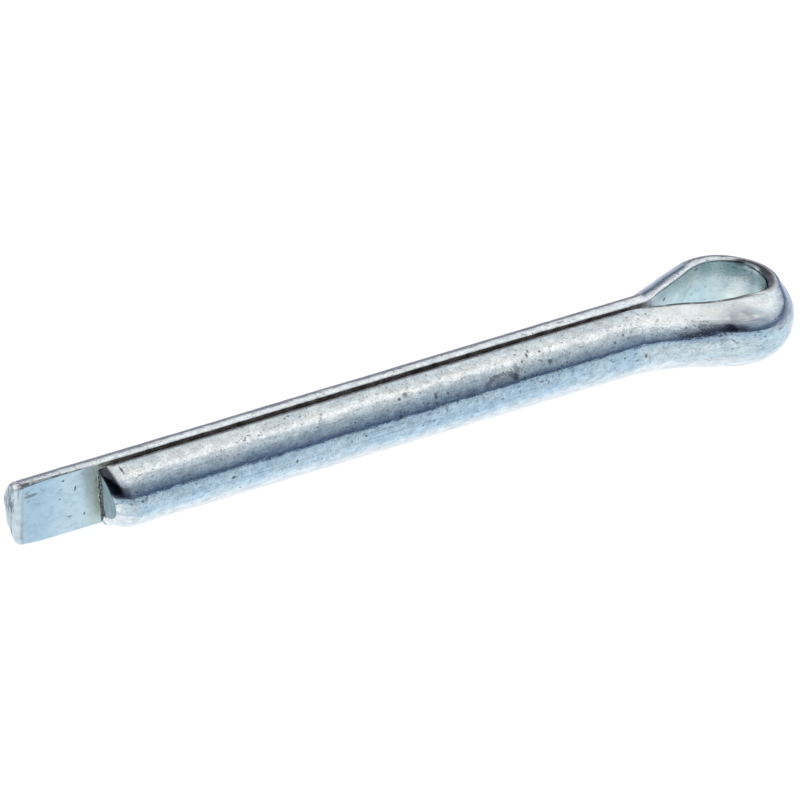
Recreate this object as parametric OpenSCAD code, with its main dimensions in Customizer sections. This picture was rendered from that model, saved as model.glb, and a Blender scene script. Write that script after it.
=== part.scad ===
// Cotter pin: half-round wire folded flat to flat into an eye and two legs.
// The shank lies along X with its axis on the origin's X line, the eye points to +X,
// and the origin is where the shank meets the eye. Millimetres.

/* [Wire] */
// Diameter of the closed shank, both legs together
shank_d = 3.7; // [3.2:0.05:4]
// Gap between the two flats along the shank
leg_gap = 0.48; // [0.2:0.02:0.7]
// Break on the sharp edges beside each flat
edge_break = 0.1; // [0.04:0.02:0.2]

/* [Legs] */
// Short leg, from the eye's seat to its cut end
short_leg = 31.7; // [16:0.1:60]
// How much further the long leg runs
long_extra = 4.8; // [1:0.1:10]
// Lean of the short leg's cut, its top edge outwards
short_lean = 9; // [0:1:15]
// Lean of the long leg's cut, its top edge outwards
long_lean = 6; // [0:1:15]
// Turn of the short leg's cut about the vertical, its back outwards
short_turn = 6; // [0:1:12]
// Turn of the long leg's cut about the vertical, its back inwards
long_turn = 9; // [0:1:12]
// Width of the rolled edge round the back of each cut
end_roll = 0.3; // [0.1:0.05:0.5]

/* [Eye] */
// Inside radius of the eye's round end
eye_r = 1.79; // [1.4:0.01:2.2]
// Eye length, from its seat to the outside of its round end
eye_l = 8; // [7.6:0.1:12]
// How far the eye's centre sits towards the short leg
eye_shift = 0.15; // [0:0.05:0.4]
// Bend radius on the back of the long leg's neck
long_neck = 0.6; // [0.3:0.1:2]
// Bend radius on the back of the short leg's neck
short_neck = 8.6; // [2:0.1:8.6]
// How far ahead of the seat the short leg starts to bend
short_lead = 1.8; // [0.4:0.1:4]

/* [Hidden] */
$fn = 96;
wire_r = shank_d / 2;
// distance of each flat from the shank's axis
flat_at = leg_gap / 2;
// thickness of the half-round wire, flat to back
wire_t = wire_r - flat_at;
// half width of the flat before its edges are broken
flat_h = sqrt(wire_r * wire_r - flat_at * flat_at);
// centre of the eye's round end
eye_x = eye_l - wire_t - eye_r;
// how far each leg is made past its cut
spare = 2;
// each flank runs this far into the bends at its ends, and is this much slimmer than they are
tuck = 0.1;
slim = 0.01;

// One side of the eye, from where the wire leaves the shank at the neck to the round end:
// run is the distance along the shank and rise the height of the flat over the eye's centre.
// The neck's radius is held to what still meets the round end.
function neck_limit(run, rise) = (run * run + rise * rise - eye_r * eye_r) / (2 * (eye_r - rise));
function neck_r(run, rise, back) = floor(100 * min(wire_t + back, 0.98 * neck_limit(run, rise))) / 100;
function centres(run, rise, r) = norm([run, rise + r]);
// slope of the flank that is tangent to the neck and to the round end
function flare(run, rise, r) = asin((r + eye_r) / centres(run, rise, r)) - atan2(rise + r, run);
function flank(run, rise, r) = sqrt(pow(centres(run, rise, r), 2) - pow(r + eye_r, 2));

long_run = eye_x;
long_rise = flat_at + eye_shift;
long_r = neck_r(long_run, long_rise, long_neck);
short_run = eye_x + short_lead;
short_rise = flat_at - eye_shift;
short_r = neck_r(short_run, short_rise, short_neck);

// The wire's section: a round about the origin, cut by the flat, with broken edges
module wire_section(less = 0) {
    x = flat_at + less;
    h = flat_h - less;
    intersection() {
        circle(r = wire_r - less);
        polygon([
            [x, edge_break - h],
            [x, h - edge_break],
            [x + 2 * edge_break, h + edge_break],
            [2 * wire_r, h + edge_break],
            [2 * wire_r, -h - edge_break],
            [x + 2 * edge_break, -h - edge_break]
        ]);
    }
}

// A straight stretch of wire along +X
module wire(length, less = 0) {
    rotate([90, 0, 90]) linear_extrude(height = length) wire_section(less);
}

// A leg from start back to reach, its end cut square to a tilted axis with the back edge rolled
module leg(start, reach, lean, turn) {
    far = reach + start + 20;
    intersection() {
        translate([-reach - spare, 0, 0]) wire(reach + spare + start);
        translate([-reach, 0, 0]) rotate([0, -lean, turn]) rotate([0, 90, 0]) rotate_extrude() polygon([
            [0, 0],
            [wire_r - end_roll, 0],
            [wire_r - end_roll + far, far],
            [0, far]
        ]);
    }
}

// One side of the pin: leg, neck and flank, drawn on the +Y side
module side(start, run, rise, r, reach, lean, turn) {
    f = flare(run, rise, r);
    leg(start, reach, lean, turn);
    translate([start, flat_at + r, 0]) rotate(-90) rotate_extrude(angle = f)
        translate([r + flat_at, 0]) mirror([1, 0]) wire_section();
    translate([start + r * sin(f), flat_at + r - r * cos(f), 0]) rotate(f)
        translate([-tuck, -flat_at, 0]) wire(flank(run, rise, r) + 2 * tuck, slim);
}

// The round end of the eye
module eye() {
    short_f = flare(short_run, short_rise, short_r);
    long_f = flare(long_run, long_rise, long_r);
    translate([eye_x, -eye_shift, 0]) rotate(-90 - short_f) rotate_extrude(angle = 180 + short_f + long_f)
        translate([eye_r - flat_at, 0]) wire_section();
}

module cotter_pin() {
    color("#c4ccd4") union() {
        side(0, long_run, long_rise, long_r, short_leg + long_extra, long_lean, -long_turn);
        mirror([0, 1, 0]) side(-short_lead, short_run, short_rise, short_r, short_leg, short_lean, short_turn);
        eye();
    }
}

cotter_pin();
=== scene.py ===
import bmesh
import bpy
import math
import numpy as np
from mathutils import Matrix, Vector, noise


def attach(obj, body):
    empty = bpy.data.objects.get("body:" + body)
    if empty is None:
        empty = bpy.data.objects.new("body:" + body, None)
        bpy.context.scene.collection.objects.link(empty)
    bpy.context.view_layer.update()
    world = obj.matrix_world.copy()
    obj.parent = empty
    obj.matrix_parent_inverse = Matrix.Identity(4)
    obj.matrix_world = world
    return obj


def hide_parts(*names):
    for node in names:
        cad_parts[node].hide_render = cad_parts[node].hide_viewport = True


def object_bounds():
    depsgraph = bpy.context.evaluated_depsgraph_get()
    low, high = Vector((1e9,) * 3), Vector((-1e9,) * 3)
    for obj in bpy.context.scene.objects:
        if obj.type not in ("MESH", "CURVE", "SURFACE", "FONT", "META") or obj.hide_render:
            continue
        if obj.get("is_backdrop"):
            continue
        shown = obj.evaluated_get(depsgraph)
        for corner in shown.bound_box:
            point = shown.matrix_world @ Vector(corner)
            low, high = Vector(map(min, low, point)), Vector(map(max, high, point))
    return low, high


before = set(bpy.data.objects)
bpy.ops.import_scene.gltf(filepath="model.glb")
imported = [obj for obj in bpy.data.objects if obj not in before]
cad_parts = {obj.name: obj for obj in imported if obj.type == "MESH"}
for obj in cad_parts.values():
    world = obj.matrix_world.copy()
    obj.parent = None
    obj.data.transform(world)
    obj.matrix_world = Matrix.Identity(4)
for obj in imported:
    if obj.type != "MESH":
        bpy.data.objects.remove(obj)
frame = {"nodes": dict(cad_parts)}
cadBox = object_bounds()  # the CAD box, before anything is added
mm = 0.001
print("frame:", ", ".join(frame["nodes"]))

# the folded wire, millimetres
pin = {
    "shankDiameter": 3.7,
    "legGap": 0.48,
    "edgeRound": 0.07,
    "shortLeg": 31.7,
    "longExtra": 4.6,
    "eyeRadius": 1.79,
    "eyeLength": 8.0,
    "eyeShift": 0.15,
    "longNeck": 0.6,
    "shortNeck": 8.6,
    "shortLead": 1.8,
    "neckLimit": 0.98,  # share of the largest neck radius that fits
    "neckSteps": 60,
    "eyeSteps": 180,
    "backPoints": 71,
    "edgePoints": 8,
    "flatPoints": 31,
    "ringStep": 0.16,
    "unevenness": 0.012,
}


def addNode(tree, kind, **values):
    n = tree.nodes.new(kind)
    for key, value in values.items():
        setattr(n, key, value)
    return n


def foldPath(p):
    # centre line of the wire's round back, from the short leg's cut round the eye to the long leg's cut
    flatAt = p["legGap"] / 2
    wireThick = p["shankDiameter"] / 2 - flatAt
    eyeRadius = p["eyeRadius"]
    eyeX = p["eyeLength"] - wireThick - eyeRadius

    def neck(run, rise, back):
        limit = (run * run + rise * rise - eyeRadius ** 2) / (2 * (eyeRadius - rise))
        radius = math.floor(100 * min(wireThick + back, p["neckLimit"] * limit)) / 100  # whole hundredths
        gap = math.hypot(run, rise + radius)
        return radius, math.asin((radius + eyeRadius) / gap) - math.atan2(rise + radius, run)

    def sidePath(start, reach, radius, flare, side):
        out = [(-reach, 0.0), (start, 0.0)]
        turn = radius + flatAt
        for k in range(1, p["neckSteps"] + 1):
            a = flare * k / p["neckSteps"]
            out.append((start + turn * math.sin(a), side * turn * (1 - math.cos(a))))
        return out

    shortRadius, shortFlare = neck(eyeX + p["shortLead"], flatAt - p["eyeShift"], p["shortNeck"])
    longRadius, longFlare = neck(eyeX, flatAt + p["eyeShift"], p["longNeck"])
    path = sidePath(-p["shortLead"], p["shortLeg"], shortRadius, shortFlare, -1)
    ring = eyeRadius - flatAt
    first, last = -math.pi / 2 - shortFlare, math.pi / 2 + longFlare
    for k in range(p["eyeSteps"] + 1):
        a = first + (last - first) * k / p["eyeSteps"]
        path.append((eyeX + ring * math.cos(a), -p["eyeShift"] + ring * math.sin(a)))
    return path + sidePath(0.0, p["shortLeg"] + p["longExtra"], longRadius, longFlare, 1)[::-1]


def halfRound(p):
    # the wire's section: round back, flat, and small rounds between them
    r, flatAt, soft = p["shankDiameter"] / 2, p["legGap"] / 2, p["edgeRound"]
    cx = flatAt + soft
    cy = math.sqrt((r - soft) ** 2 - cx * cx)
    tip = math.atan2(cy, cx)

    def edge(side, start, stop):
        angles = np.linspace(start, stop, p["edgePoints"])[1:]
        return [(cx + soft * math.cos(a), side * cy + soft * math.sin(a)) for a in angles]

    out = [(r * math.cos(a), r * math.sin(a)) for a in np.linspace(-tip, tip, p["backPoints"])]
    out += edge(1, tip, math.pi)
    out += [(flatAt, y) for y in np.linspace(cy, -cy, p["flatPoints"])[1:]]
    return out + edge(-1, math.pi, 2 * math.pi - tip)[:-1]


def lineObject(name, points, closed):
    curve = bpy.data.curves.new(name, "CURVE")
    curve.dimensions = "3D"
    spline = curve.splines.new("POLY")
    spline.points.add(len(points) - 1)
    for point, (x, y) in zip(spline.points, points):
        point.co = (x * mm, y * mm, 0.0, 1.0)
    spline.use_cyclic_u = closed
    obj = bpy.data.objects.new(name, curve)
    bpy.context.collection.objects.link(obj)
    return obj


def sweepTree():
    # a section swept along a curve; the place along it and on the section go with the mesh
    tree = bpy.data.node_groups.new("foldedWire", "GeometryNodeTree")
    face = tree.interface
    face.new_socket("Path", in_out="INPUT", socket_type="NodeSocketGeometry")
    face.new_socket("Section", in_out="INPUT", socket_type="NodeSocketObject")
    face.new_socket("Ring Step", in_out="INPUT", socket_type="NodeSocketFloat")
    face.new_socket("Finish", in_out="INPUT", socket_type="NodeSocketMaterial")
    face.new_socket("Wire", in_out="OUTPUT", socket_type="NodeSocketGeometry")
    source, sink = addNode(tree, "NodeGroupInput"), addNode(tree, "NodeGroupOutput")
    link = tree.links.new

    def keep(name, geometry, value, kind):
        n = addNode(tree, "GeometryNodeStoreNamedAttribute", data_type=kind, domain="POINT")
        n.inputs["Name"].default_value = name
        link(geometry, n.inputs["Geometry"])
        link(value, n.inputs["Value"])
        return n.outputs["Geometry"]

    rings = addNode(tree, "GeometryNodeResampleCurve", mode="LENGTH")
    link(source.outputs["Path"], rings.inputs["Curve"])
    link(source.outputs["Ring Step"], rings.inputs["Length"])
    place = addNode(tree, "GeometryNodeInputPosition")
    length = addNode(tree, "GeometryNodeSplineParameter")
    path = keep("core", rings.outputs["Curve"], place.outputs["Position"], "FLOAT_VECTOR")
    path = keep("along", path, length.outputs["Length"], "FLOAT")
    upright = addNode(tree, "GeometryNodeSetCurveNormal", mode="Z_UP")
    link(path, upright.inputs["Curve"])
    section = addNode(tree, "GeometryNodeObjectInfo")
    link(source.outputs["Section"], section.inputs["Object"])
    outline = keep("section", section.outputs["Geometry"], place.outputs["Position"], "FLOAT_VECTOR")
    sweep = addNode(tree, "GeometryNodeCurveToMesh")
    link(upright.outputs["Curve"], sweep.inputs["Curve"])
    link(outline, sweep.inputs["Profile Curve"])
    real = addNode(tree, "GeometryNodeRealizeInstances")
    link(sweep.outputs["Mesh"], real.inputs["Geometry"])
    finish = addNode(tree, "GeometryNodeSetMaterial")
    link(real.outputs["Geometry"], finish.inputs["Geometry"])
    link(source.outputs["Finish"], finish.inputs["Material"])
    link(finish.outputs["Geometry"], sink.inputs["Wire"])
    return tree


def sweptWire(p, material):
    # runs the sweep and hands back its rings as plain arrays, millimetres
    path = lineObject("foldPath", foldPath(p), False)
    section = lineObject("wireSection", halfRound(p), True)
    tree = sweepTree()
    mod = path.modifiers.new("foldedWire", "NODES")
    mod.node_group = tree
    values = {"Section": section, "Ring Step": p["ringStep"] * mm, "Finish": material}
    for item in tree.interface.items_tree:
        if item.in_out == "INPUT" and item.name in values:
            mod[item.identifier] = values[item.name]
    seen = path.evaluated_get(bpy.context.evaluated_depsgraph_get())
    mesh = bpy.data.meshes.new_from_object(seen)
    size = len(section.data.splines[0].points)

    def read(name, width):
        out = np.zeros(len(mesh.vertices) * width)
        mesh.attributes[name].data.foreach_get("value" if width == 1 else "vector", out)
        return out.reshape(-1, size, width) / mm

    core, along, local = read("core", 3), read("along", 1), read("section", 3)
    for obj in (path, section):
        bpy.data.objects.remove(obj)
    bpy.data.meshes.remove(mesh)
    return core[:, 0, :2], along[:, 0, 0], local[0, :, :2]


def softStep(x):
    x = np.clip(x, 0, 1)
    return x * x * (3 - 2 * x)


def bell(x, middle, spread):
    return np.exp(-0.5 * ((x - middle) / spread) ** 2)


def ripple(x, y, z):
    return noise.noise(Vector((x, y, z)))


# listed departures from the plain sweep; the lines are pairs of place along the wire and value, millimetres
bend = {
    "innerLine": [
        (0, -0.08), (28, -0.08), (30.5, -0.02), (31.2, 0.0), (32, -0.09), (33, -0.17), (34.5, -0.21),
        (35.3, -0.32), (36.3, -0.56), (36.9, -0.62), (37.3, -0.45), (37.7, -0.16), (38.1, 0.1), (38.5, 0.33),
        (39.0, 0.38), (39.5, 0.3), (40.0, 0.13), (40.7, -0.02), (41.5, -0.05), (42.4, 0.06), (43.4, -0.02),
        (44.6, -0.04), (45.4, -0.07), (46.2, -0.22), (47.2, -0.23), (49, -0.18), (52, -0.13), (55, -0.1),
        (58, -0.08), (90, -0.08),
    ],
    "outerLine": [
        (35.5, 0.0), (36.6, 0.05), (37.4, 0.14), (38.0, 0.12), (38.7, 0.02), (40.5, -0.01), (42, 0.01),
        (43.4, 0.02), (44.5, 0.0),
    ],
    # share of the wide edge round
    "softEdge": [
        (31.0, 0.0), (32.5, 0.45), (36.2, 0.5), (37.2, 0.75), (38.2, 1.1), (39.0, 0.8), (39.8, 0.4),
        (41.0, 0.15), (42.0, 0.0),
    ],
    "sideFlat": [
        (33.4, 0.0), (34.4, 0.045), (34.9, 0.068), (36.0, 0.105), (36.6, 0.085), (37.2, 0.03), (37.7, 0.0),
    ],
    "ridge": [
        (16, 0.0), (24, 0.034), (31, 0.052), (34, 0.045), (35.4, 0.01), (36.3, 0.05), (37.0, 0.065),
        (37.8, 0.04), (38.6, 0.0),
    ],
    "lineStep": 0.05,
    "lineBlur": 0.22,
    "wideSoft": 0.42,
    "longEndSoft": 0.3,
    "longEndLength": 1.8,
    "backFrom": 0.25,  # depth past the flat at which the round back begins
    "innerReach": 0.9,
    # degrees round the back, 0 at its top and 90 outwards: middle and spread, then start and width
    "pressed": (42, 16),
    "bulged": (80, 18),
    "bulgeShare": 0.8,
    "crestRise": (33, 33),
    "crestFall": (65, 24),
}
# the two sheared ends, millimetres and degrees
cuts = {
    "short": {
        "lean": 9.0, "turn": -5.0,
        "rollDepth": 0.45, "rollLength": 1.25, "topShare": 0.32,
        "flatRoll": 0.03, "flatLength": 0.4,
        "underDepth": 0.36, "underLength": 0.6, "overDepth": 0.0, "overLength": 0.3,
        "dome": 0.03, "ridges": 0.03, "burr": 0.11,
    },
    "long": {
        "lean": 6.0, "turn": -11.0,
        "rollDepth": 0.18, "rollLength": 0.4, "topShare": 0.25,
        "flatRoll": 0.15, "flatLength": 0.48,
        "underDepth": 0.12, "underLength": 0.3, "overDepth": 0.04, "overLength": 0.3,
        "dome": 0.14, "ridges": 0.08, "burr": 0.0,
    },
    "closeRings": (1.0, 36),  # reach from the cut, and count
    "wideRings": (2.4, 15),
    "sweepFrom": 2.45,
    "faceRings": 17,
    "slantFade": 3.0,
    "rollSide": 55,  # degrees from the top at which the roll is full
    "flatWander": 0.09,
    "lipWidth": 0.12,
    "lipDrop": 0.35,
    "tornFrom": 0.42,  # the long leg's edge is torn from here to its cut
    "tornFade": 0.2,
    "tornFlat": 0.7,
    "tornBack": 0.3,
}


def handLine(s, pairs):
    # a listed line of values, eased so that no corner shows
    step, blur = bend["lineStep"], bend["lineBlur"]
    fineS = np.arange(-2, s.max() + 2, step)
    fineV = np.interp(fineS, [v[0] for v in pairs], [v[1] for v in pairs])
    weight = bell(np.arange(-3 * blur, 3 * blur + 0.01, step), 0, blur)
    return np.interp(s, fineS, np.convolve(fineV, weight / weight.sum(), mode="same"))


def ringPlaces(along):
    # the sweep's own rings, with closer ones near the cuts
    total = along[-1]
    (near, nearCount), (far, farCount) = cuts["closeRings"], cuts["wideRings"]
    fine = np.concatenate([np.linspace(0, near, nearCount), np.linspace(near, far, farCount)[1:]])
    inner = along[(along > cuts["sweepFrom"]) & (along < total - cuts["sweepFrom"])]
    return np.concatenate([fine, inner, total - fine[::-1]])


def dressWire(p, core, along, section):
    # reshapes the bend, lays in the wire's small unevenness, then rolls and cuts the ends
    total = along[-1]
    s = ringPlaces(along)
    x, y = np.interp(s, along, core[:, 0]), np.interp(s, along, core[:, 1])
    tx, ty = np.gradient(x, s), np.gradient(y, s)
    size = np.hypot(tx, ty)
    tangent = np.stack([tx / size, ty / size, 0 * tx], 1)
    outward = np.stack([tangent[:, 1], -tangent[:, 0], 0 * tx], 1)
    base = np.stack([x, y, 0 * x], 1)

    softer = np.array(halfRound({**p, "edgeRound": bend["wideSoft"]}))
    soft = handLine(s, bend["softEdge"])
    soft = soft + bend["longEndSoft"] * (1 - softStep((total - s) / bend["longEndLength"]))
    a = section[None, :, 0] + soft[:, None] * (softer[:, 0] - section[:, 0])[None, :]
    z = section[None, :, 1] + soft[:, None] * (softer[:, 1] - section[:, 1])[None, :]
    step = np.roll(section, -1, 0) - np.roll(section, 1, 0)
    normal = np.stack([step[:, 1], -step[:, 0]], 1)
    normal /= np.linalg.norm(normal, axis=1, keepdims=True)
    flatAt = p["legGap"] / 2
    back = softStep((section[:, 0] - flatAt) / bend["backFrom"])  # 0 on the flat, 1 on the round back
    nearFlat = 1 - softStep((section[:, 0] - flatAt) / bend["innerReach"])
    a = a + handLine(s, bend["innerLine"])[:, None] * nearFlat[None, :]
    a = a + handLine(s, bend["outerLine"])[:, None] * (1 - nearFlat)[None, :]
    tilt = np.degrees(np.arctan2(section[:, 0], section[:, 1]))
    press = bell(tilt, *bend["pressed"]) - bend["bulgeShare"] * bell(tilt, *bend["bulged"])
    push = handLine(s, bend["sideFlat"])[:, None] * (press * back)[None, :]
    # a blunt corner low on the near side
    rise, fall = bend["crestRise"], bend["crestFall"]
    crest = softStep((tilt - rise[0]) / rise[1]) * (1 - softStep((tilt - fall[0]) / fall[1]))
    push = push + handLine(s, bend["ridge"])[:, None] * (crest * back)[None, :]
    a = a + push * normal[None, :, 0]
    z = z + push * normal[None, :, 1]

    def waves(u, v):
        return ripple(u * 0.35, v[0] * 0.9, v[1] * 0.9) + 0.5 * ripple(u * 0.9, v[0] * 2, v[1] * 2 + 9)

    wave = np.array([[waves(u, v) for v in section] for u in s])
    a = a + p["unevenness"] * wave * normal[None, :, 0]
    z = z + p["unevenness"] * wave * normal[None, :, 1]

    shift = np.zeros_like(a)
    for name, gap, side in (("short", s, -1.0), ("long", total - s, 1.0)):
        c = cuts[name]
        k = np.clip(1 - gap / c["rollLength"], 0, 1)
        inset = 0.75 * k * k + 0.25 * (1 - np.sqrt(1 - k * k))  # mostly a long ease, rounder at the cut
        wander = np.array([cuts["flatWander"] * ripple(v[1] * 2.7, side * 5.0, 0.0) for v in section])
        flatInset = np.clip(1 - (gap[:, None] + wander[None, :]) / c["flatLength"], 0, 1.1) ** 2
        share = c["topShare"] + (1 - c["topShare"]) * softStep(np.abs(tilt) / cuts["rollSide"])
        depth = inset[:, None] * (back * share * c["rollDepth"])[None, :]
        depth = depth + flatInset * ((1 - back) * c["flatRoll"])[None, :]
        a = a - depth * normal[None, :, 0]
        z = z - depth * normal[None, :, 1]

        def squeeze(depth, length):
            k = np.clip(1 - gap / length, 0, 1)
            return (depth * (1 - np.sqrt(1 - k ** 2)) * 2 / p["shankDiameter"])[:, None]

        under = squeeze(c["underDepth"], c["underLength"])
        over = squeeze(c["overDepth"], c["overLength"])
        z = z * (1 - np.where(section[None, :, 1] < 0, under, over))
        lean, turn = math.tan(math.radians(c["lean"])), math.tan(math.radians(c["turn"]))
        slant = section[:, 1] * lean + section[:, 0] * turn
        shift += side * (1 - softStep(gap / cuts["slantFade"]))[:, None] * slant[None, :]
    vert = base[:, None, :] + a[..., None] * outward[:, None, :] + shift[..., None] * tangent[:, None, :]
    vert[..., 2] += z
    space = np.zeros_like(vert)
    space[..., 0] = s[:, None]
    space[..., 1:] = section[None, :, :]
    edgeTorn = np.where(section[:, 0] < 0.3, cuts["tornFlat"], cuts["tornBack"])
    cut = softStep((s - total + cuts["tornFrom"]) / cuts["tornFade"])[:, None] * edgeTorn[None, :]

    # end faces as shrinking rings, so that they can be domed and torn
    def faceRings(index, c, side):
        edge, where = vert[index].copy(), space[index]
        mid = edge.mean(0)
        middleOut = section[:, 0].mean()
        # a torn lip along the flat's edge
        lip = np.array([0.55 + 0.9 * ripple(v[1] * 3.4, 4.0, side) for v in section])
        onFlat = 1 - softStep((section[:, 0] - flatAt) / cuts["lipWidth"])
        lip = c["burr"] * np.clip(lip, 0.15, 1.2) * onFlat
        lip = side * tangent[index] * lip[:, None] - outward[index] * cuts["lipDrop"] * lip[:, None]
        vert[index] = edge + lip
        plane, spot = [], []
        for f in np.linspace(1, 0, cuts["faceRings"])[1:-1]:
            ring = mid + (edge - mid) * f + lip * f ** 8
            rough = np.array([ripple(v[1] * 2.6, v[2] * 0.7, side * 7.0)
                              + 0.6 * ripple(v[1] * 7.5, v[2] * 1.3, side * 3.0) for v in ring])
            swell = c["dome"] * (1 - f ** 4) + c["ridges"] * rough * (1 - f ** 8)
            plane.append(ring + side * tangent[index] * swell[:, None])
            spot.append(where * [1, f, f] + [0, middleOut * (1 - f), 0])
        return np.array(plane), np.array(spot), plane[-1].mean(0), where.mean(0)

    first = faceRings(0, cuts["short"], -1.0)
    last = faceRings(-1, cuts["long"], 1.0)
    grid = np.concatenate([first[0][::-1], vert, last[0]])
    gridSpace = np.concatenate([first[1][::-1], space, last[1]])
    rings, around = grid.shape[:2]
    whole = np.ones((len(first[0]), around))
    points = np.concatenate([grid.reshape(-1, 3), [first[2], last[2]]])
    spaces = np.concatenate([gridSpace.reshape(-1, 3), [first[3], last[3]]])
    torn = np.concatenate([np.concatenate([whole, cut, whole]).reshape(-1), [1, 1]])
    faces = []
    for i in range(rings - 1):
        for j in range(around):
            k = (j + 1) % around
            faces.append((i * around + j, i * around + k, (i + 1) * around + k, (i + 1) * around + j))
    for j in range(around):
        k = (j + 1) % around
        faces.append((rings * around, k, j))
        faces.append((rings * around + 1, (rings - 1) * around + j, (rings - 1) * around + k))
    return points, spaces, torn, faces


def buildPin(p, material):
    points, spaces, torn, faces = dressWire(p, *sweptWire(p, material))
    mesh = bpy.data.meshes.new("cotterPin")
    mesh.from_pydata((points * mm).tolist(), [], faces)
    mesh.update()
    mesh.attributes.new("wireSpace", "FLOAT_VECTOR", "POINT").data.foreach_set("vector", spaces.ravel())
    mesh.attributes.new("torn", "FLOAT", "POINT").data.foreach_set("value", torn)
    mesh.materials.append(material)
    mesh.shade_smooth()
    obj = bpy.data.objects.new("cotterPin", mesh)
    bpy.context.collection.objects.link(obj)
    print("wire:", len(points), "points,", len(faces), "faces")
    return obj


class shadeTools:
    # short ways to write sums of shader nodes; field holds the values that rules are written on
    def __init__(self, tree):
        self.tree = tree
        self.field = {}
        self.noises = ()

    def put(self, socket, value):
        if isinstance(value, (int, float, tuple)):
            socket.default_value = value
        else:
            self.tree.links.new(value, socket)

    def calc(self, kind, *terms):
        n = addNode(self.tree, "ShaderNodeMath", operation=kind)
        for socket, term in zip(n.inputs, terms):
            self.put(socket, term)
        return n.outputs[0]

    def chain(self, kind, terms):
        result = terms[0]
        for term in terms[1:]:
            result = self.calc(kind, result, term)
        return result

    def product(self, *terms):
        return self.chain("MULTIPLY", terms)

    def plus(self, *terms):
        return self.chain("ADD", terms)

    def most(self, *terms):
        return self.chain("MAXIMUM", terms)

    def fit(self, value, low, high, toLow=0.0, toHigh=1.0):
        n = addNode(self.tree, "ShaderNodeMapRange", interpolation_type="SMOOTHSTEP")
        names = ("Value", "From Min", "From Max", "To Min", "To Max")
        for name, v in zip(names, (value, low, high, toLow, toHigh)):
            self.put(n.inputs[name], v)
        return n.outputs["Result"]

    def window(self, value, a, b, c, d):
        return self.product(self.fit(value, a, b), self.fit(value, c, d, 1.0, 0.0))

    def blend(self, share, a, b, kind="MIX"):
        n = addNode(self.tree, "ShaderNodeMix", data_type="RGBA", blend_type=kind)
        for index, value in ((0, share), (6, a), (7, b)):
            self.put(n.inputs[index], value)
        return n.outputs[2]

    def amount(self, rule):
        # two numbers ease in from the first to the second; four ease in and out, or give a noise's range
        terms = []
        for key, v in rule.items():
            if key == "strength":
                terms.append(v)
            elif len(v) == 2 or key in self.noises:
                terms.append(self.fit(self.field[key], *v))
            else:
                terms.append(self.window(self.field[key], *v))
        return self.product(*terms)
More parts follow.
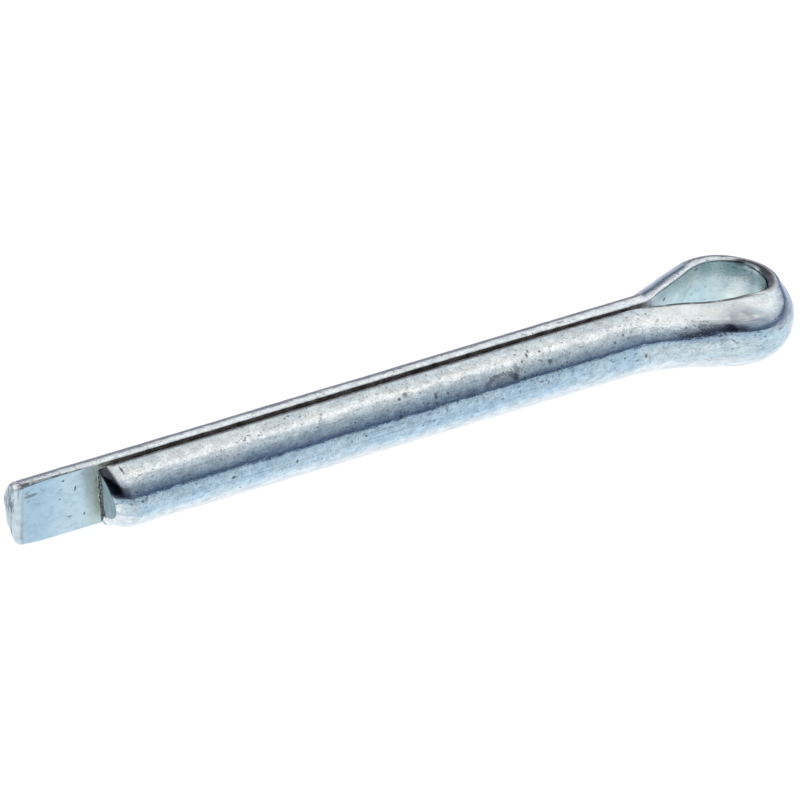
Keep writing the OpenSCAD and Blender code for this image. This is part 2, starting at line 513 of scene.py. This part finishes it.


# the plated finish with its painted light and shade, millimetres
plate = {
    "tints": {
        "pale": (0.895, 0.915, 0.92, 1),
        "cool": (0.775, 0.83, 0.87, 1),
        # also paints a dark band of shade by the long leg's cut
        "pitAndShade": (0.26, 0.28, 0.31, 1),
        # the dark of the specks, which also paints shade in the gap between the legs and at the burr
        "speckAndShade": (0.07, 0.055, 0.045, 1),
        "eye": (0.86, 0.935, 0.92, 1),
        "flat": (0.88, 0.925, 0.935, 1),
        "flatEnd": (0.8, 0.87, 0.92, 1),
        "haze": (0.93, 0.98, 0.9, 1),
        # painted shade mixed with grime, for the gap between the legs
        "gapShadeAndGrime": (0.75, 0.7, 0.68, 1),
        # darker towards the top and the end of the eye's inside
        "eyeDarker": (0.42, 0.5, 0.5, 1),
        # a painted dark reflection on the eye's inner wall
        "darkWallReflection": (0.16, 0.24, 0.26, 1),
        "crumb": (0.2, 0.15, 0.09, 1),
        # a painted highlight
        "paintedHighlight": (0.97, 0.975, 0.975, 1),
        "tarnish": (0.4, 0.42, 0.48, 1),
        # a painted dark reflection spot
        "darkSpotReflection": (0.035, 0.04, 0.065, 1),
        "stain": (0.21, 0.2, 0.21, 1),
        # painted dark reflection and shade, for the eye's end and the edge lines
        "paintedDark": (0.055, 0.056, 0.07, 1),
        "cut": (0.92, 0.94, 0.96, 1),
        "endFace": (0.3, 0.4, 0.43, 1),
    },
    # stretch along, out and up, then scale, detail and roughness
    "noises": {
        "broad": ((0.4, 1, 1), 1.3, 4, 0.6),
        "mottle": ((0.6, 1, 1), 3.2, 4, 0.6),
        "patch": ((0.5, 1, 1), 0.9, 3, 0.6),
        "grain": ((1, 1, 1), 8.5, 3, 0.7),
        "pits": ((0.75, 1, 1), 6.5, 2, 0.5),
        "dust": ((0.7, 1, 1), 10.5, 2, 0.5),
        "drawn": ((0.035, 1, 1), 6.5, 3, 0.65),
        "streak": ((2.2, 1.8, 0.45), 1.7, 4, 0.65),
    },
    # scattered grains: size and pick are eased limits, fray is how ragged the edge is
    "specks": {
        "stretch": (0.8, 1, 1), "scale": 1.9, "fray": 0.16,
        "size": (0.2, 0.14), "pick": (0.6, 0.64), "channel": 0, "strength": 0.8,
    },
    "crumbs": {
        "stretch": (1, 0.2, 1.2), "scale": 1.25, "fray": 0.22,
        "size": (0.33, 0.25), "pick": (0.2, 0.24), "channel": 1, "strength": 0.85,
    },
    # single marks: place along, out and up, half length, half width, strength
    "marks": [
        (24.21, 0.81, 1.67, 0.05, 0.12, 0.7),
        (24.04, 0.99, 1.56, 0.07, 0.12, 0.8),
        (23.66, 1.18, 1.42, 0.07, 0.07, 0.7),
        (1.34, 1.8, 0.41, 0.12, 0.1, 0.7),
        (16.9, 1.1, 1.49, 0.18, 0.14, 0.6),
        (16.5, 1.2, 1.4, 0.1, 0.1, 0.8),
        (16.35, 1.7, 0.73, 0.1, 0.12, 0.9),
        (18.5, 1.45, 1.15, 0.09, 0.18, 0.7),
        (25.16, 1.43, 1.18, 0.14, 0.12, 0.7),
        (6.64, 1.84, 0.23, 0.15, 0.08, 0.8),
        (10.32, 1.85, 0.06, 0.07, 0.14, 0.8),
        (0.95, 0.69, 1.72, 0.06, 0.22, 0.85),
        (19.2, 1.48, 1.1, 0.1, 0.1, 0.6),
        (30.8, 1.83, 0.1, 0.1, 0.16, 0.7),
        (30.2, 1.85, -0.05, 0.16, 0.08, 0.6),
    ],
    "stains": [
        (21.35, 1.62, 0.9, 0.18, 0.16, 0.5),
        (21.55, 1.54, 1.02, 0.2, 0.14, 0.6),
        (21.75, 1.47, 1.12, 0.22, 0.14, 0.75),
        (22.05, 1.41, 1.2, 0.26, 0.12, 0.75),
        (22.35, 1.39, 1.22, 0.26, 0.11, 0.65),
        (22.65, 1.41, 1.2, 0.24, 0.14, 0.6),
        (22.9, 1.49, 1.1, 0.24, 0.18, 0.8),
        (23.1, 1.56, 0.99, 0.2, 0.22, 1.0),
        (23.25, 1.36, 1.26, 0.18, 0.25, 0.6),
        (22.3, 1.56, 1.0, 0.75, 0.3, 0.32),
        (20.4, 1.62, 0.9, 0.5, 0.25, 0.3),
    ],
    # marks on the long leg's flat: distance from its cut, up, half length, half width, strength
    "flatMarks": [
        (2.6, 1.4, 0.08, 0.07, 0.8),
        (2.5, 0.38, 0.06, 0.05, 0.8),
        (3.35, 0.76, 0.06, 0.16, 0.75),
        (3.2, -0.84, 0.16, 0.05, 0.6),
        (4.05, -0.93, 0.07, 0.12, 0.6),
        (0.85, 1.15, 0.42, 0.12, 0.55),
        (0.62, 1.38, 0.14, 0.14, 0.3),
    ],
    "markFray": 1.1,
    "stainFray": 1.6,
    "markEdge": (1.2, 0.5),
    "lively": (-1.0, 0.4, 0.25, 1.0),  # by height: the underside is the smoother side
    "mottleTone": (0.3, 0.7, 0.8, 1.1),
    "grainTone": (0.28, 0.68, 0.78, 1.1),
    "gapLean": (1.5, 0.9, 0.0, 0.5),  # the gap's dark starts later towards the top
    "gapStart": (45.3, 46.4),
    "gapEnd": (4.85, 4.45),  # from the long leg's cut
    "tipSpread": (3.4, 1.6, 0.0, 0.09),  # the tip's line widens towards the cut
    "rimShare": 0.97,
    "pitShare": 0.9,
    "highlightShare": 0.5,
    "tornShare": 0.8,
    "endShare": 0.9,
    # where each finish and each mark of painted light and shade lies and how strong it is; back is the
    # distance from the long leg's cut
    "rules": {
        "tint": {"broad": (0.35, 0.65)},
        "pits": {"pits": (0.4, 0.31)},
        "pitPatch": {"patch": (0.36, 0.6, 0.15, 1.0)},
        "pitStretch": {"along": (10.0, 16.0, 33.0, 36.0), "strength": 0.55},
        "dust": {
            "dust": (0.37, 0.29), "up": (0.1, 0.4, 1.3, 1.6), "mottle": (0.35, 0.6, 0.2, 1.0),
            "strength": 0.75,
        },
        "drawn": {"drawn": (0.4, 0.28), "strength": 0.4},
        "die": {
            "up": (0.03, 0.05, 0.065, 0.09), "along": (2.5, 5.0, 17.0, 20.0), "out": (1.5, 1.7),
            "mottle": (0.3, 0.55, 0.05, 0.3),
        },
        "inside": {"out": (0.275, 0.245)},
        "eye": {"along": (31.5, 33.0, 45.0, 46.0)},
        "tip": {"back": (5.8, 5.2)},
        "hazeLong": {"back": (3.6, 4.6, 4.85, 5.35)},
        "hazeShort": {"along": (1.3, 0.5)},
        # the gap between the legs, darkened with painted shade and grime
        "gapShort": {"along": (0.5, 1.3, 30.6, 32.2)},
        "eyeTint": {"mottle": (0.3, 0.6, 0.35, 0.9)},
        "flatTint": {"mottle": (0.3, 0.6, 0.4, 0.85)},
        "flatEnd": {"back": (2.9, 1.4)},
        "hazeTint": {"mottle": (0.3, 0.7, 0.6, 0.9)},
        # the eye's inside gets darker towards its top and its end
        "darkerUp": {"up": (0.6, 1.6)},
        "darkerAtEnd": {"along": (37.6, 38.4, 39.5, 40.3), "strength": 0.4},
        "darkerTint": {"mottle": (0.3, 0.65, 0.55, 0.95)},
        # a painted dark reflection on the eye's inner wall
        "darkWallReflection": {"along": (38.0, 38.8, 40.0, 41.2), "up": (0.3, 1.2), "grain": (0.4, 0.6, 0.35, 0.75)},
        "fleck": {"grain": (0.56, 0.65), "up": (0.0, 0.9), "strength": 0.55},
        "gapTint": {"mottle": (0.2, 0.7)},
        "top": {"up": (1.15, 1.4)},
        # painted highlights on the eye's shoulder and along its end's edge
        "shoulder": {"along": (31.0, 33.0, 36.6, 37.5), "up": (1.25, 1.5)},
        "edgeHighlight": {"along": (39.1, 39.3, 39.7, 39.9), "up": (1.5, 1.7), "out": (0.253, 0.247)},
        "tarnish": {
            "along": (34.6, 35.9, 36.4, 37.0), "out": (0.5, 0.97, 1.2, 1.32), "up": (0.3, 0.6),
            "mottle": (0.35, 0.6, 0.3, 0.95),
        },
        # a painted dark reflection spot on the shoulder
        "darkSpotReflection": {
            "along": (35.1, 35.8, 36.1, 36.6), "out": (1.2, 1.34, 1.48, 1.58), "up": (0.2, 0.4),
            "grain": (0.35, 0.6, 0.3, 0.6),
        },
        # from here to the wedge: painted dark reflection and shade round the eye's end, along the inner edges
        # and at the cuts; the glint is left bare
        "paintedDark": {
            "along": (37.3, 37.9, 40.0, 40.4), "out": (0.241, 0.25, 0.275, 0.335),
            "grain": (0.3, 0.5, 0.85, 1.0),
        },
        "glint": {"along": (39.1, 39.35, 39.7, 39.95), "out": (0.266, 0.252)},
        "nearLine": {"along": (30.5, 32.0, 36.6, 37.8), "out": (0.243, 0.25, 0.3, 0.325)},
        "legLine": {"along": (0.4, 0.8, 29.5, 31.0), "out": (0.241, 0.247, 0.3, 0.46)},
        "farLine": {"along": (40.4, 41.2, 45.0, 46.0), "out": (0.241, 0.246, 0.27, 0.3), "strength": 0.12},
        "lineTint": {"mottle": (0.3, 0.5, 0.5, 0.95)},
        "tipLine": {
            "back": (0.75, 0.95, 3.4, 4.6), "spread": (0.31, 0.28), "out": (0.241, 0.247),
            "mottle": (0.35, 0.6, 0.3, 0.85),
        },
        "tipCorner": {
            "back": (0.17, 0.25, 0.7, 1.0), "out": (0.245, 0.256, 0.34, 0.42), "up": (1.3, 1.5),
            "strength": 0.9,
        },
        "wedge": {"along": (0.57, 0.39), "out": (0.255, 0.29), "up": (0.75, 1.1), "strength": 0.98},
        # a painted dark band of shade on the long leg's flat by its cut
        "tipBand": {"back": (0.2, 0.3, 0.38, 0.47), "strength": 0.35},
        "tornTint": {"streak": (0.39, 0.51)},
        "endFace": {"along": (1.0, 0.5)},
        # the burr's dark is partly a torn edge and partly painted shade
        "burr": {"out": (0.7, 0.55), "grain": (0.62, 0.52)},
        "eyeSide": {"along": (32.0, 35.0, 40.5, 42.0), "up": (0.9, 0.3), "strength": 0.05},
        "calmNear": {"along": (33.8, 35.2, 37.6, 38.4), "strength": 0.65},
        "calmFar": {"along": (41.4, 42.4, 45.6, 46.6), "strength": 0.65},
    },
    "rough": {
        "broad": (0.3, 0.7, 0.07, 0.13), "torn": (1.0, 2.0, 0.2, 0.38),
        "inside": 0.12, "haze": 0.42, "dirt": 0.3,
    },
    "relief": {
        "depth": 7e-6, "grain": 0.3, "mottle": 2.0, "patch": 3.0, "drawn": 0.7, "pits": 0.4,
        "streak": 7.0, "insideGrain": 0.45, "insideCalm": 0.85,
    },
}


def zincPlate(p, total):
    mat = bpy.data.materials.new("zincPlate")
    mat.use_nodes = True
    tree = mat.node_tree
    link = tree.links.new
    shader = tree.nodes["Principled BSDF"]
    shader.inputs["Metallic"].default_value = 1.0
    do = shadeTools(tree)
    tints, field = plate["tints"], do.field
    do.noises = plate["noises"]

    def scaled(vector, stretch):
        n = addNode(tree, "ShaderNodeMapping")
        n.inputs["Scale"].default_value = stretch
        link(vector, n.inputs["Vector"])
        return n.outputs["Vector"]

    def amount(name):
        return do.amount(plate["rules"][name])

    place = addNode(tree, "ShaderNodeAttribute", attribute_name="wireSpace").outputs["Vector"]
    tornAt = addNode(tree, "ShaderNodeAttribute", attribute_name="torn").outputs["Fac"]
    split = addNode(tree, "ShaderNodeSeparateXYZ")
    link(place, split.inputs[0])
    along, out, up = split.outputs
    back = do.calc("SUBTRACT", total, along)
    spread = do.calc("SUBTRACT", out, do.fit(back, *plate["tipSpread"]))
    field.update(along=along, out=out, up=up, back=back, spread=spread)
    for name, (stretch, scale, detail, fine) in plate["noises"].items():
        n = addNode(tree, "ShaderNodeTexNoise")
        link(scaled(place, stretch), n.inputs["Vector"])
        n.inputs["Scale"].default_value = scale
        n.inputs["Detail"].default_value = detail
        n.inputs["Roughness"].default_value = fine
        field[name] = n.outputs["Fac"]
    broad, mottle, grain = field["broad"], field["mottle"], field["grain"]

    def scatter(c):
        n = addNode(tree, "ShaderNodeTexVoronoi")
        link(scaled(place, c["stretch"]), n.inputs["Vector"])
        n.inputs["Scale"].default_value = c["scale"]
        pick = addNode(tree, "ShaderNodeSeparateColor")
        link(n.outputs["Color"], pick.inputs[0])
        near = do.plus(n.outputs["Distance"], do.product(grain, c["fray"]))
        kept = do.fit(pick.outputs[c["channel"]], *c["pick"])
        return do.product(do.fit(near, *c["size"]), kept, c["strength"])

    def mark(middle, length, width, strength, fray):
        away = addNode(tree, "ShaderNodeVectorMath", operation="SUBTRACT")
        link(place, away.inputs[0])
        away.inputs[1].default_value = middle
        size = addNode(tree, "ShaderNodeVectorMath", operation="DIVIDE")
        link(away.outputs["Vector"], size.inputs[0])
        size.inputs[1].default_value = (length, width, width)
        far = addNode(tree, "ShaderNodeVectorMath", operation="LENGTH")
        link(size.outputs["Vector"], far.inputs[0])
        ragged = do.calc("MULTIPLY_ADD", do.calc("SUBTRACT", grain, 0.5), fray, far.outputs["Value"])
        return do.fit(ragged, *plate["markEdge"], 0.0, strength)

    # plating: broad tint, patches of fine pits, draw lines and specks
    lively = do.fit(up, *plate["lively"])
    colour = do.blend(amount("tint"), tints["cool"], tints["pale"])
    colour = do.blend(1.0, colour, do.fit(mottle, *plate["mottleTone"]), "MULTIPLY")
    grained = do.blend(1.0, colour, do.fit(grain, *plate["grainTone"]), "MULTIPLY")
    colour = do.blend(lively, colour, grained)
    pitted = do.product(amount("pits"), lively, do.most(amount("pitPatch"), amount("pitStretch")))
    colour = do.blend(do.product(pitted, plate["pitShare"]), colour, tints["pitAndShade"])
    colour = do.blend(amount("dust"), colour, tints["pitAndShade"])
    colour = do.blend(amount("drawn"), colour, tints["pitAndShade"])
    colour = do.blend(scatter(plate["specks"]), colour, tints["speckAndShade"])
    stains = [mark(m[:3], *m[3:], plate["stainFray"]) for m in plate["stains"]]
    colour = do.blend(do.most(*stains), colour, tints["stain"])
    marks = [mark(m[:3], *m[3:], plate["markFray"]) for m in plate["marks"]]
    flatAt = p["legGap"] / 2
    marks += [mark((total - m[0], flatAt, m[1]), *m[2:], plate["markFray"]) for m in plate["flatMarks"]]
    marked = do.most(*marks, amount("die"))  # the last is one long scratch left by the drawing die

    # the inside of the fold: clean at the eye, hazed by the short leg's end, painted shade mixed with grime
    # between the legs
    inside = amount("inside")
    eyeAt = do.product(inside, amount("eye"))
    tipAt = do.product(inside, amount("tip"))
    hazeAt = do.product(inside, do.plus(amount("hazeLong"), amount("hazeShort")))
    leant = do.plus(along, do.fit(up, *plate["gapLean"]))
    gapLong = do.window(leant, *plate["gapStart"], *(total - v for v in plate["gapEnd"]))
    gapAt = do.product(inside, do.plus(amount("gapShort"), gapLong))
    colour = do.blend(do.product(eyeAt, amount("eyeTint")), colour, tints["eye"])
    colour = do.blend(do.product(tipAt, amount("flatTint")), colour, tints["flat"])
    colour = do.blend(do.product(tipAt, amount("flatEnd")), colour, tints["flatEnd"], "MULTIPLY")
    colour = do.blend(do.product(hazeAt, amount("hazeTint")), colour, tints["haze"])
    # the eye's inside gets darker towards its top and its end
    eyeDarker = do.calc("MINIMUM", do.plus(amount("darkerUp"), amount("darkerAtEnd")), 1.0)
    colour = do.blend(do.product(eyeDarker, eyeAt, amount("darkerTint")), colour, tints["eyeDarker"])
    # a painted dark reflection on the eye's inner wall
    colour = do.blend(do.product(amount("darkWallReflection"), eyeAt), colour, tints["darkWallReflection"])
    colour = do.blend(do.product(amount("fleck"), eyeAt), colour, tints["crumb"])
    colour = do.blend(do.product(scatter(plate["crumbs"]), eyeAt), colour, tints["crumb"])
    # painted shade: the gap between the legs is darkened, mixed with grime and dark specks
    colour = do.blend(gapAt, colour, do.blend(amount("gapTint"), tints["speckAndShade"], tints["gapShadeAndGrime"]))
    colour = do.blend(marked, colour, tints["speckAndShade"])

    # the eye's shoulder: painted highlights on its edges, tarnish and a small painted dark reflection spot
    paintedHighlight = do.most(amount("shoulder"), amount("edgeHighlight"))
    colour = do.blend(do.product(paintedHighlight, plate["highlightShare"]), colour, tints["paintedHighlight"])
    colour = do.blend(amount("tarnish"), colour, tints["tarnish"])
    colour = do.blend(amount("darkSpotReflection"), colour, tints["darkSpotReflection"])

    # painted dark reflection round the end of the eye, with a thin glint left bare, and thin painted dark
    # lines of reflection and shade on the inner edges and at the cuts
    top = amount("top")
    paintedDark = do.product(amount("paintedDark"), top, do.calc("SUBTRACT", plate["rimShare"], amount("glint")))
    line = do.plus(do.most(amount("nearLine"), amount("legLine")), amount("farLine"))
    line = do.product(line, top, amount("lineTint"))
    tipLine = do.product(amount("tipLine"), top)
    shaded = do.most(paintedDark, line, tipLine, amount("tipCorner"), amount("wedge"))
    colour = do.blend(shaded, colour, tints["paintedDark"])

    # the sheared ends, and a painted dark band of shade on the long leg's flat by its cut
    colour = do.blend(do.product(amount("tipBand"), inside), colour, tints["pitAndShade"])
    sheared = do.blend(amount("tornTint"), tints["pitAndShade"], tints["cut"])
    colour = do.blend(do.product(tornAt, plate["tornShare"]), colour, sheared)
    endAt = do.product(tornAt, amount("endFace"))
    colour = do.blend(do.product(endAt, plate["endShare"]), colour, tints["endFace"])
    # the burr's dark is partly a torn edge and partly painted shade
    colour = do.blend(do.product(endAt, amount("burr")), colour, tints["speckAndShade"])
    link(colour, shader.inputs["Base Color"])

    r = plate["rough"]
    rough = do.plus(
        do.fit(broad, *r["broad"]),
        do.product(inside, r["inside"]),
        do.product(tornAt, do.fit(along, *r["torn"])),
        do.product(hazeAt, r["haze"]),
        amount("eyeSide"),
        do.product(do.plus(gapAt, marked), r["dirt"]),
    )
    link(rough, shader.inputs["Roughness"])

    # the bump is calmer on the underside, at the eye and inside the fold
    r = plate["relief"]
    calm = do.most(do.plus(amount("calmNear"), amount("calmFar")), do.product(inside, r["insideCalm"]))
    calm = do.product(lively, do.calc("SUBTRACT", 1.0, calm))
    uneven = do.plus(*(do.product(field[name], r[name]) for name in ("grain", "mottle", "patch")))
    height = do.plus(
        do.product(uneven, calm),
        do.product(grain, inside, r["insideGrain"]),
        do.product(field["drawn"], r["drawn"]),
        do.product(pitted, -r["pits"]),
        do.product(field["streak"], tornAt, r["streak"]),
    )
    bump = addNode(tree, "ShaderNodeBump")
    bump.inputs["Strength"].default_value = 1.0
    bump.inputs["Distance"].default_value = r["depth"]
    link(height, bump.inputs["Height"])
    link(bump.outputs["Normal"], shader.inputs["Normal"])
    print("finish:", len(tree.nodes), "nodes")
    return mat


# the light tent: tones by height above the horizon in degrees, metres
tent = {
    "radius": 4.0,
    "subdivisions": 4,
    # in front of the pin
    "front": {
        -90: (1.0, 1.02, 1.05),
        -60: (0.87, 0.96, 1.03),
        -50: (0.66, 0.83, 0.97),
        -38: (0.55, 0.71, 0.86),
        -15: (0.5, 0.65, 0.78),
        -2: (0.42, 0.56, 0.68),
        0.5: (0.04, 0.07, 0.145),
        7: (0.08, 0.125, 0.21),
        16: (0.18, 0.245, 0.335),
        26: (0.29, 0.37, 0.45),
        36: (0.39, 0.47, 0.54),
        44: (0.6, 0.67, 0.72),
        52: (0.73, 0.78, 0.8),
        57.5: (1.2, 1.19, 1.17),
        61: (0.95, 0.96, 0.95),
        90: (0.85, 0.86, 0.87),
    },
    # behind it
    "back": {
        -90: (1.0, 1.02, 1.05),
        -60: (0.95, 0.99, 1.04),
        -34: (0.9, 0.93, 0.99),
        -24: (0.68, 0.7, 0.79),
        -14: (0.29, 0.29, 0.35),
        -1: (0.21, 0.21, 0.25),
        5: (0.9, 0.93, 0.95),
        26: (1.04, 1.05, 1.06),
        40: (1.02, 1.03, 1.04),
        50: (0.66, 0.72, 0.75),
        58: (0.77, 0.81, 0.82),
        61: (0.9, 0.91, 0.9),
        90: (0.85, 0.86, 0.87),
    },
    # to its right
    "side": {
        -90: (1.0, 1.02, 1.05),
        -35: (0.7, 0.8, 0.93),
        -19: (0.63, 0.71, 0.82),
        -9: (0.5, 0.58, 0.68),
        -2: (0.39, 0.46, 0.57),
        4: (0.25, 0.3, 0.41),
        9: (0.13, 0.17, 0.26),
        13: (0.12, 0.16, 0.25),
        17: (0.26, 0.31, 0.4),
        22: (0.5, 0.57, 0.66),
        31: (0.63, 0.7, 0.78),
        37: (0.75, 0.83, 0.88),
        52: (0.72, 0.78, 0.8),
        60: (0.92, 0.93, 0.92),
        90: (0.85, 0.86, 0.87),
    },
    # in front, left of the middle
    "shoulder": {
        -90: (1.0, 1.02, 1.05),
        -60: (0.87, 0.96, 1.03),
        -38: (0.55, 0.71, 0.86),
        -15: (0.5, 0.65, 0.78),
        -2: (0.42, 0.54, 0.66),
        3: (0.09, 0.12, 0.2),
        9: (0.045, 0.06, 0.1),
        18: (0.06, 0.07, 0.105),
        26: (0.11, 0.13, 0.17),
        34: (0.24, 0.28, 0.33),
        43: (0.41, 0.46, 0.51),
        50: (0.55, 0.6, 0.64),
        60: (0.64, 0.69, 0.72),
        67: (0.68, 0.73, 0.76),
        77: (0.84, 0.86, 0.87),
        90: (0.85, 0.86, 0.87),
    },
    # a strip behind, which shows along the eye's far side
    "strip": {
        -90: (1.0, 1.02, 1.05),
        -35: (0.9, 0.93, 0.99),
        -15: (0.68, 0.73, 0.84),
        -7: (0.5, 0.57, 0.7),
        -3: (0.38, 0.44, 0.56),
        2: (0.16, 0.19, 0.25),
        9: (0.11, 0.135, 0.18),
        13: (0.28, 0.33, 0.4),
        17: (0.6, 0.66, 0.73),
        21: (0.9, 0.94, 0.96),
        40: (1.02, 1.03, 1.04),
        50: (0.66, 0.72, 0.75),
        61: (0.9, 0.91, 0.9),
        90: (0.85, 0.86, 0.87),
    },
    # the table in front, from the left of the set to the right
    "table": {
        -1.0: (0.7, 0.8, 0.86),
        -0.84: (0.72, 0.82, 0.88),
        -0.7: (1.02, 1.05, 1.07),
        -0.46: (1.05, 1.09, 1.09),
        -0.25: (0.72, 0.82, 0.86),
        0.0: (0.7, 0.82, 0.87),
        0.36: (0.66, 0.79, 0.86),
        0.67: (0.64, 0.8, 0.88),
        1.0: (0.67, 0.84, 0.91),
    },
    "tableGap": (0.42, 0.47, 0.53, 0.58),
    "leftTable": (0.5, 0.65, 0.72, 1),
    "leftDark": (0.028, 0.034, 0.06, 1),
    # where each lies, by the parts of a direction from the middle
    "panels": {
        "back": {"back": (-0.12, 0.12)},
        "side": {"right": (0.62, 0.8)},
        "shoulder": {"right": (-0.7, -0.42, -0.05, 0.2), "back": (-0.1, -0.4)},
        "strip": {"right": (0.33, 0.38, 0.435, 0.47), "back": (0.3, 0.5)},
        "table": {"up": (-0.82, -0.7, -0.4, -0.2), "back": (0.05, -0.12)},
        "leftTable": {"up": (-0.82, -0.7, -0.4, -0.2), "right": (0.25, -0.25), "back": (-0.12, 0.05)},
        "leftDark": {"right": (-0.7, -0.42, -0.26, -0.11), "up": (0.0, 0.08), "back": (0.0, -0.3)},
    },
}


def lightTent():
    # a sphere round the set that shows in the metal, not to the camera
    mesh = bpy.data.meshes.new("lightTent")
    shape = bmesh.new()
    bmesh.ops.create_icosphere(shape, subdivisions=tent["subdivisions"], radius=tent["radius"])
    shape.to_mesh(mesh)
    shape.free()
    mesh.shade_smooth()
    obj = bpy.data.objects.new("lightTent", mesh)
    bpy.context.collection.objects.link(obj)
    mat = bpy.data.materials.new("lightTent")
    mat.use_nodes = True
    mat.cycles.emission_sampling = "NONE"
    mesh.materials.append(mat)
    tree = mat.node_tree
    tree.nodes.clear()
    link = tree.links.new
    do = shadeTools(tree)

    coord = addNode(tree, "ShaderNodeTexCoord")
    unit = addNode(tree, "ShaderNodeVectorMath", operation="NORMALIZE")
    link(coord.outputs["Object"], unit.inputs[0])
    split = addNode(tree, "ShaderNodeSeparateXYZ")
    link(unit.outputs["Vector"], split.inputs[0])
    right, back, up = split.outputs
    do.field.update(right=right, back=back, up=up)
    elevation = do.calc("MULTIPLY_ADD", do.calc("ARCSINE", up), 1 / math.pi, 0.5)

    def ramp(value, rows, low, high):
        n = addNode(tree, "ShaderNodeValToRGB")
        link(value, n.inputs["Fac"])
        steps = n.color_ramp.elements
        for k, (at, colour) in enumerate(rows.items()):
            spot = steps[k] if k < 2 else steps.new(1.0)
            spot.position = (at - low) / (high - low)
            spot.color = (*colour, 1)
        return n.outputs["Color"]

    def panel(name):
        return do.amount(tent["panels"][name])

    shade = ramp(elevation, tent["front"], -90, 90)
    for name in ("back", "side", "shoulder", "strip"):
        shade = do.blend(panel(name), shade, ramp(elevation, tent[name], -90, 90))
    ahead = do.calc("SUBTRACT", 1.0, do.window(right, *tent["tableGap"]))
    table = ramp(do.calc("MULTIPLY_ADD", right, 0.5, 0.5), tent["table"], -1, 1)
    shade = do.blend(do.product(panel("table"), ahead), shade, table)
    for name in ("leftTable", "leftDark"):
        shade = do.blend(panel(name), shade, tent[name])
    glow = addNode(tree, "ShaderNodeEmission")
    link(shade, glow.inputs["Color"])
    out = addNode(tree, "ShaderNodeOutputMaterial")
    link(glow.outputs[0], out.inputs["Surface"])
    obj.visible_camera = False
    obj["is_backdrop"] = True


def seenDirectly(tree):
    # 1 for what the camera, a reflection or clear material sees, 0 for plain lighting
    path = addNode(tree, "ShaderNodeLightPath")
    rays = [path.outputs[name] for name in ("Is Camera Ray", "Is Glossy Ray", "Is Transmission Ray")]
    return shadeTools(tree).most(*rays)


def whiteRoom():
    world = bpy.data.worlds.new("whiteRoom")
    world.use_nodes = True
    bpy.context.scene.world = world
    tree = world.node_tree
    room = tree.nodes["Background"]
    room.inputs["Color"].default_value = (1, 1, 1, 1)
    tree.links.new(seenDirectly(tree), room.inputs["Strength"])


# the floor: half its width in metres, the grey that takes the shadow, and the tone that is seen
ground = {"reach": 2.5, "grey": (0.16, 0.16, 0.16, 1), "tone": (0.95, 0.95, 0.95, 1)}


def paleFloor(height):
    mesh = bpy.data.meshes.new("paleFloor")
    r = ground["reach"]
    corners = [(-r, -r, height), (r, -r, height), (r, r, height), (-r, r, height)]
    mesh.from_pydata(corners, [], [(0, 1, 2, 3)])
    floor = bpy.data.objects.new("paleFloor", mesh)
    bpy.context.collection.objects.link(floor)
    mat = bpy.data.materials.new("paleFloor")
    mat.use_nodes = True
    tree = mat.node_tree
    tree.nodes.clear()
    link = tree.links.new
    out = addNode(tree, "ShaderNodeOutputMaterial")
    diffuse = addNode(tree, "ShaderNodeBsdfDiffuse")
    diffuse.inputs["Color"].default_value = ground["grey"]
    glow = addNode(tree, "ShaderNodeEmission")
    glow.inputs["Color"].default_value = ground["tone"]
    link(seenDirectly(tree), glow.inputs["Strength"])
    both = addNode(tree, "ShaderNodeAddShader")
    link(diffuse.outputs[0], both.inputs[0])
    link(glow.outputs[0], both.inputs[1])
    link(both.outputs[0], out.inputs["Surface"])
    mesh.materials.append(mat)
    floor.visible_glossy = False  # the tent's lower half stands for the table in the metal
    floor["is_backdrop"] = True


# the photograph's view: degrees, millimetres, and the scale in the frame
shot = {
    "turn": 30.0,
    "tilt": 40.5,
    "roll": 16.733,
    "pixelsPerMm": 20.7,
    "framePixels": 800,
    "anchorX": -13.85,
    "right": -0.29,
    "up": 0.174,
    "lens": 1200.0,
    "sensor": 36.0,
    "clip": (0.05, 20.0),  # metres
}


def placeCamera(c):
    turn, tilt, roll = (math.radians(c[k]) for k in ("turn", "tilt", "roll"))
    level = Vector((0, math.cos(tilt), -math.sin(tilt)))
    ahead = Vector((math.sin(turn), 0, 0)) + level * math.cos(turn)
    across = Vector((math.cos(turn), 0, 0)) - level * math.sin(turn)
    over = Vector((0, math.sin(tilt), math.cos(tilt)))
    right = across * math.cos(roll) - over * math.sin(roll)
    up = across * math.sin(roll) + over * math.cos(roll)
    data = bpy.data.cameras.new("camera")
    data.lens = c["lens"]
    data.sensor_width = c["sensor"]
    data.clip_start, data.clip_end = c["clip"]
    camera = bpy.data.objects.new("camera", data)
    bpy.context.collection.objects.link(camera)
    target = Vector((c["anchorX"], 0, 0)) + right * c["right"] + up * c["up"]
    distance = c["lens"] * (c["framePixels"] / c["pixelsPerMm"]) / c["sensor"]
    turned = Matrix((right, up, -ahead)).transposed().to_4x4()
    camera.matrix_world = Matrix.Translation((target - ahead * distance) * mm) @ turned
    bpy.context.scene.camera = camera


bpy.context.scene.view_settings.view_transform = "Standard"
placeCamera(shot)
whiteRoom()
lightTent()
print("stage ready")

pathPoints = foldPath(pin)
wireLength = sum(math.dist(m, n) for m, n in zip(pathPoints, pathPoints[1:]))
zinc = zincPlate(pin, wireLength)
wire = buildPin(pin, zinc)
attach(wire, "root")
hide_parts("cotter_pin")

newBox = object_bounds()
paleFloor(min(cadBox[0].z, newBox[0].z))
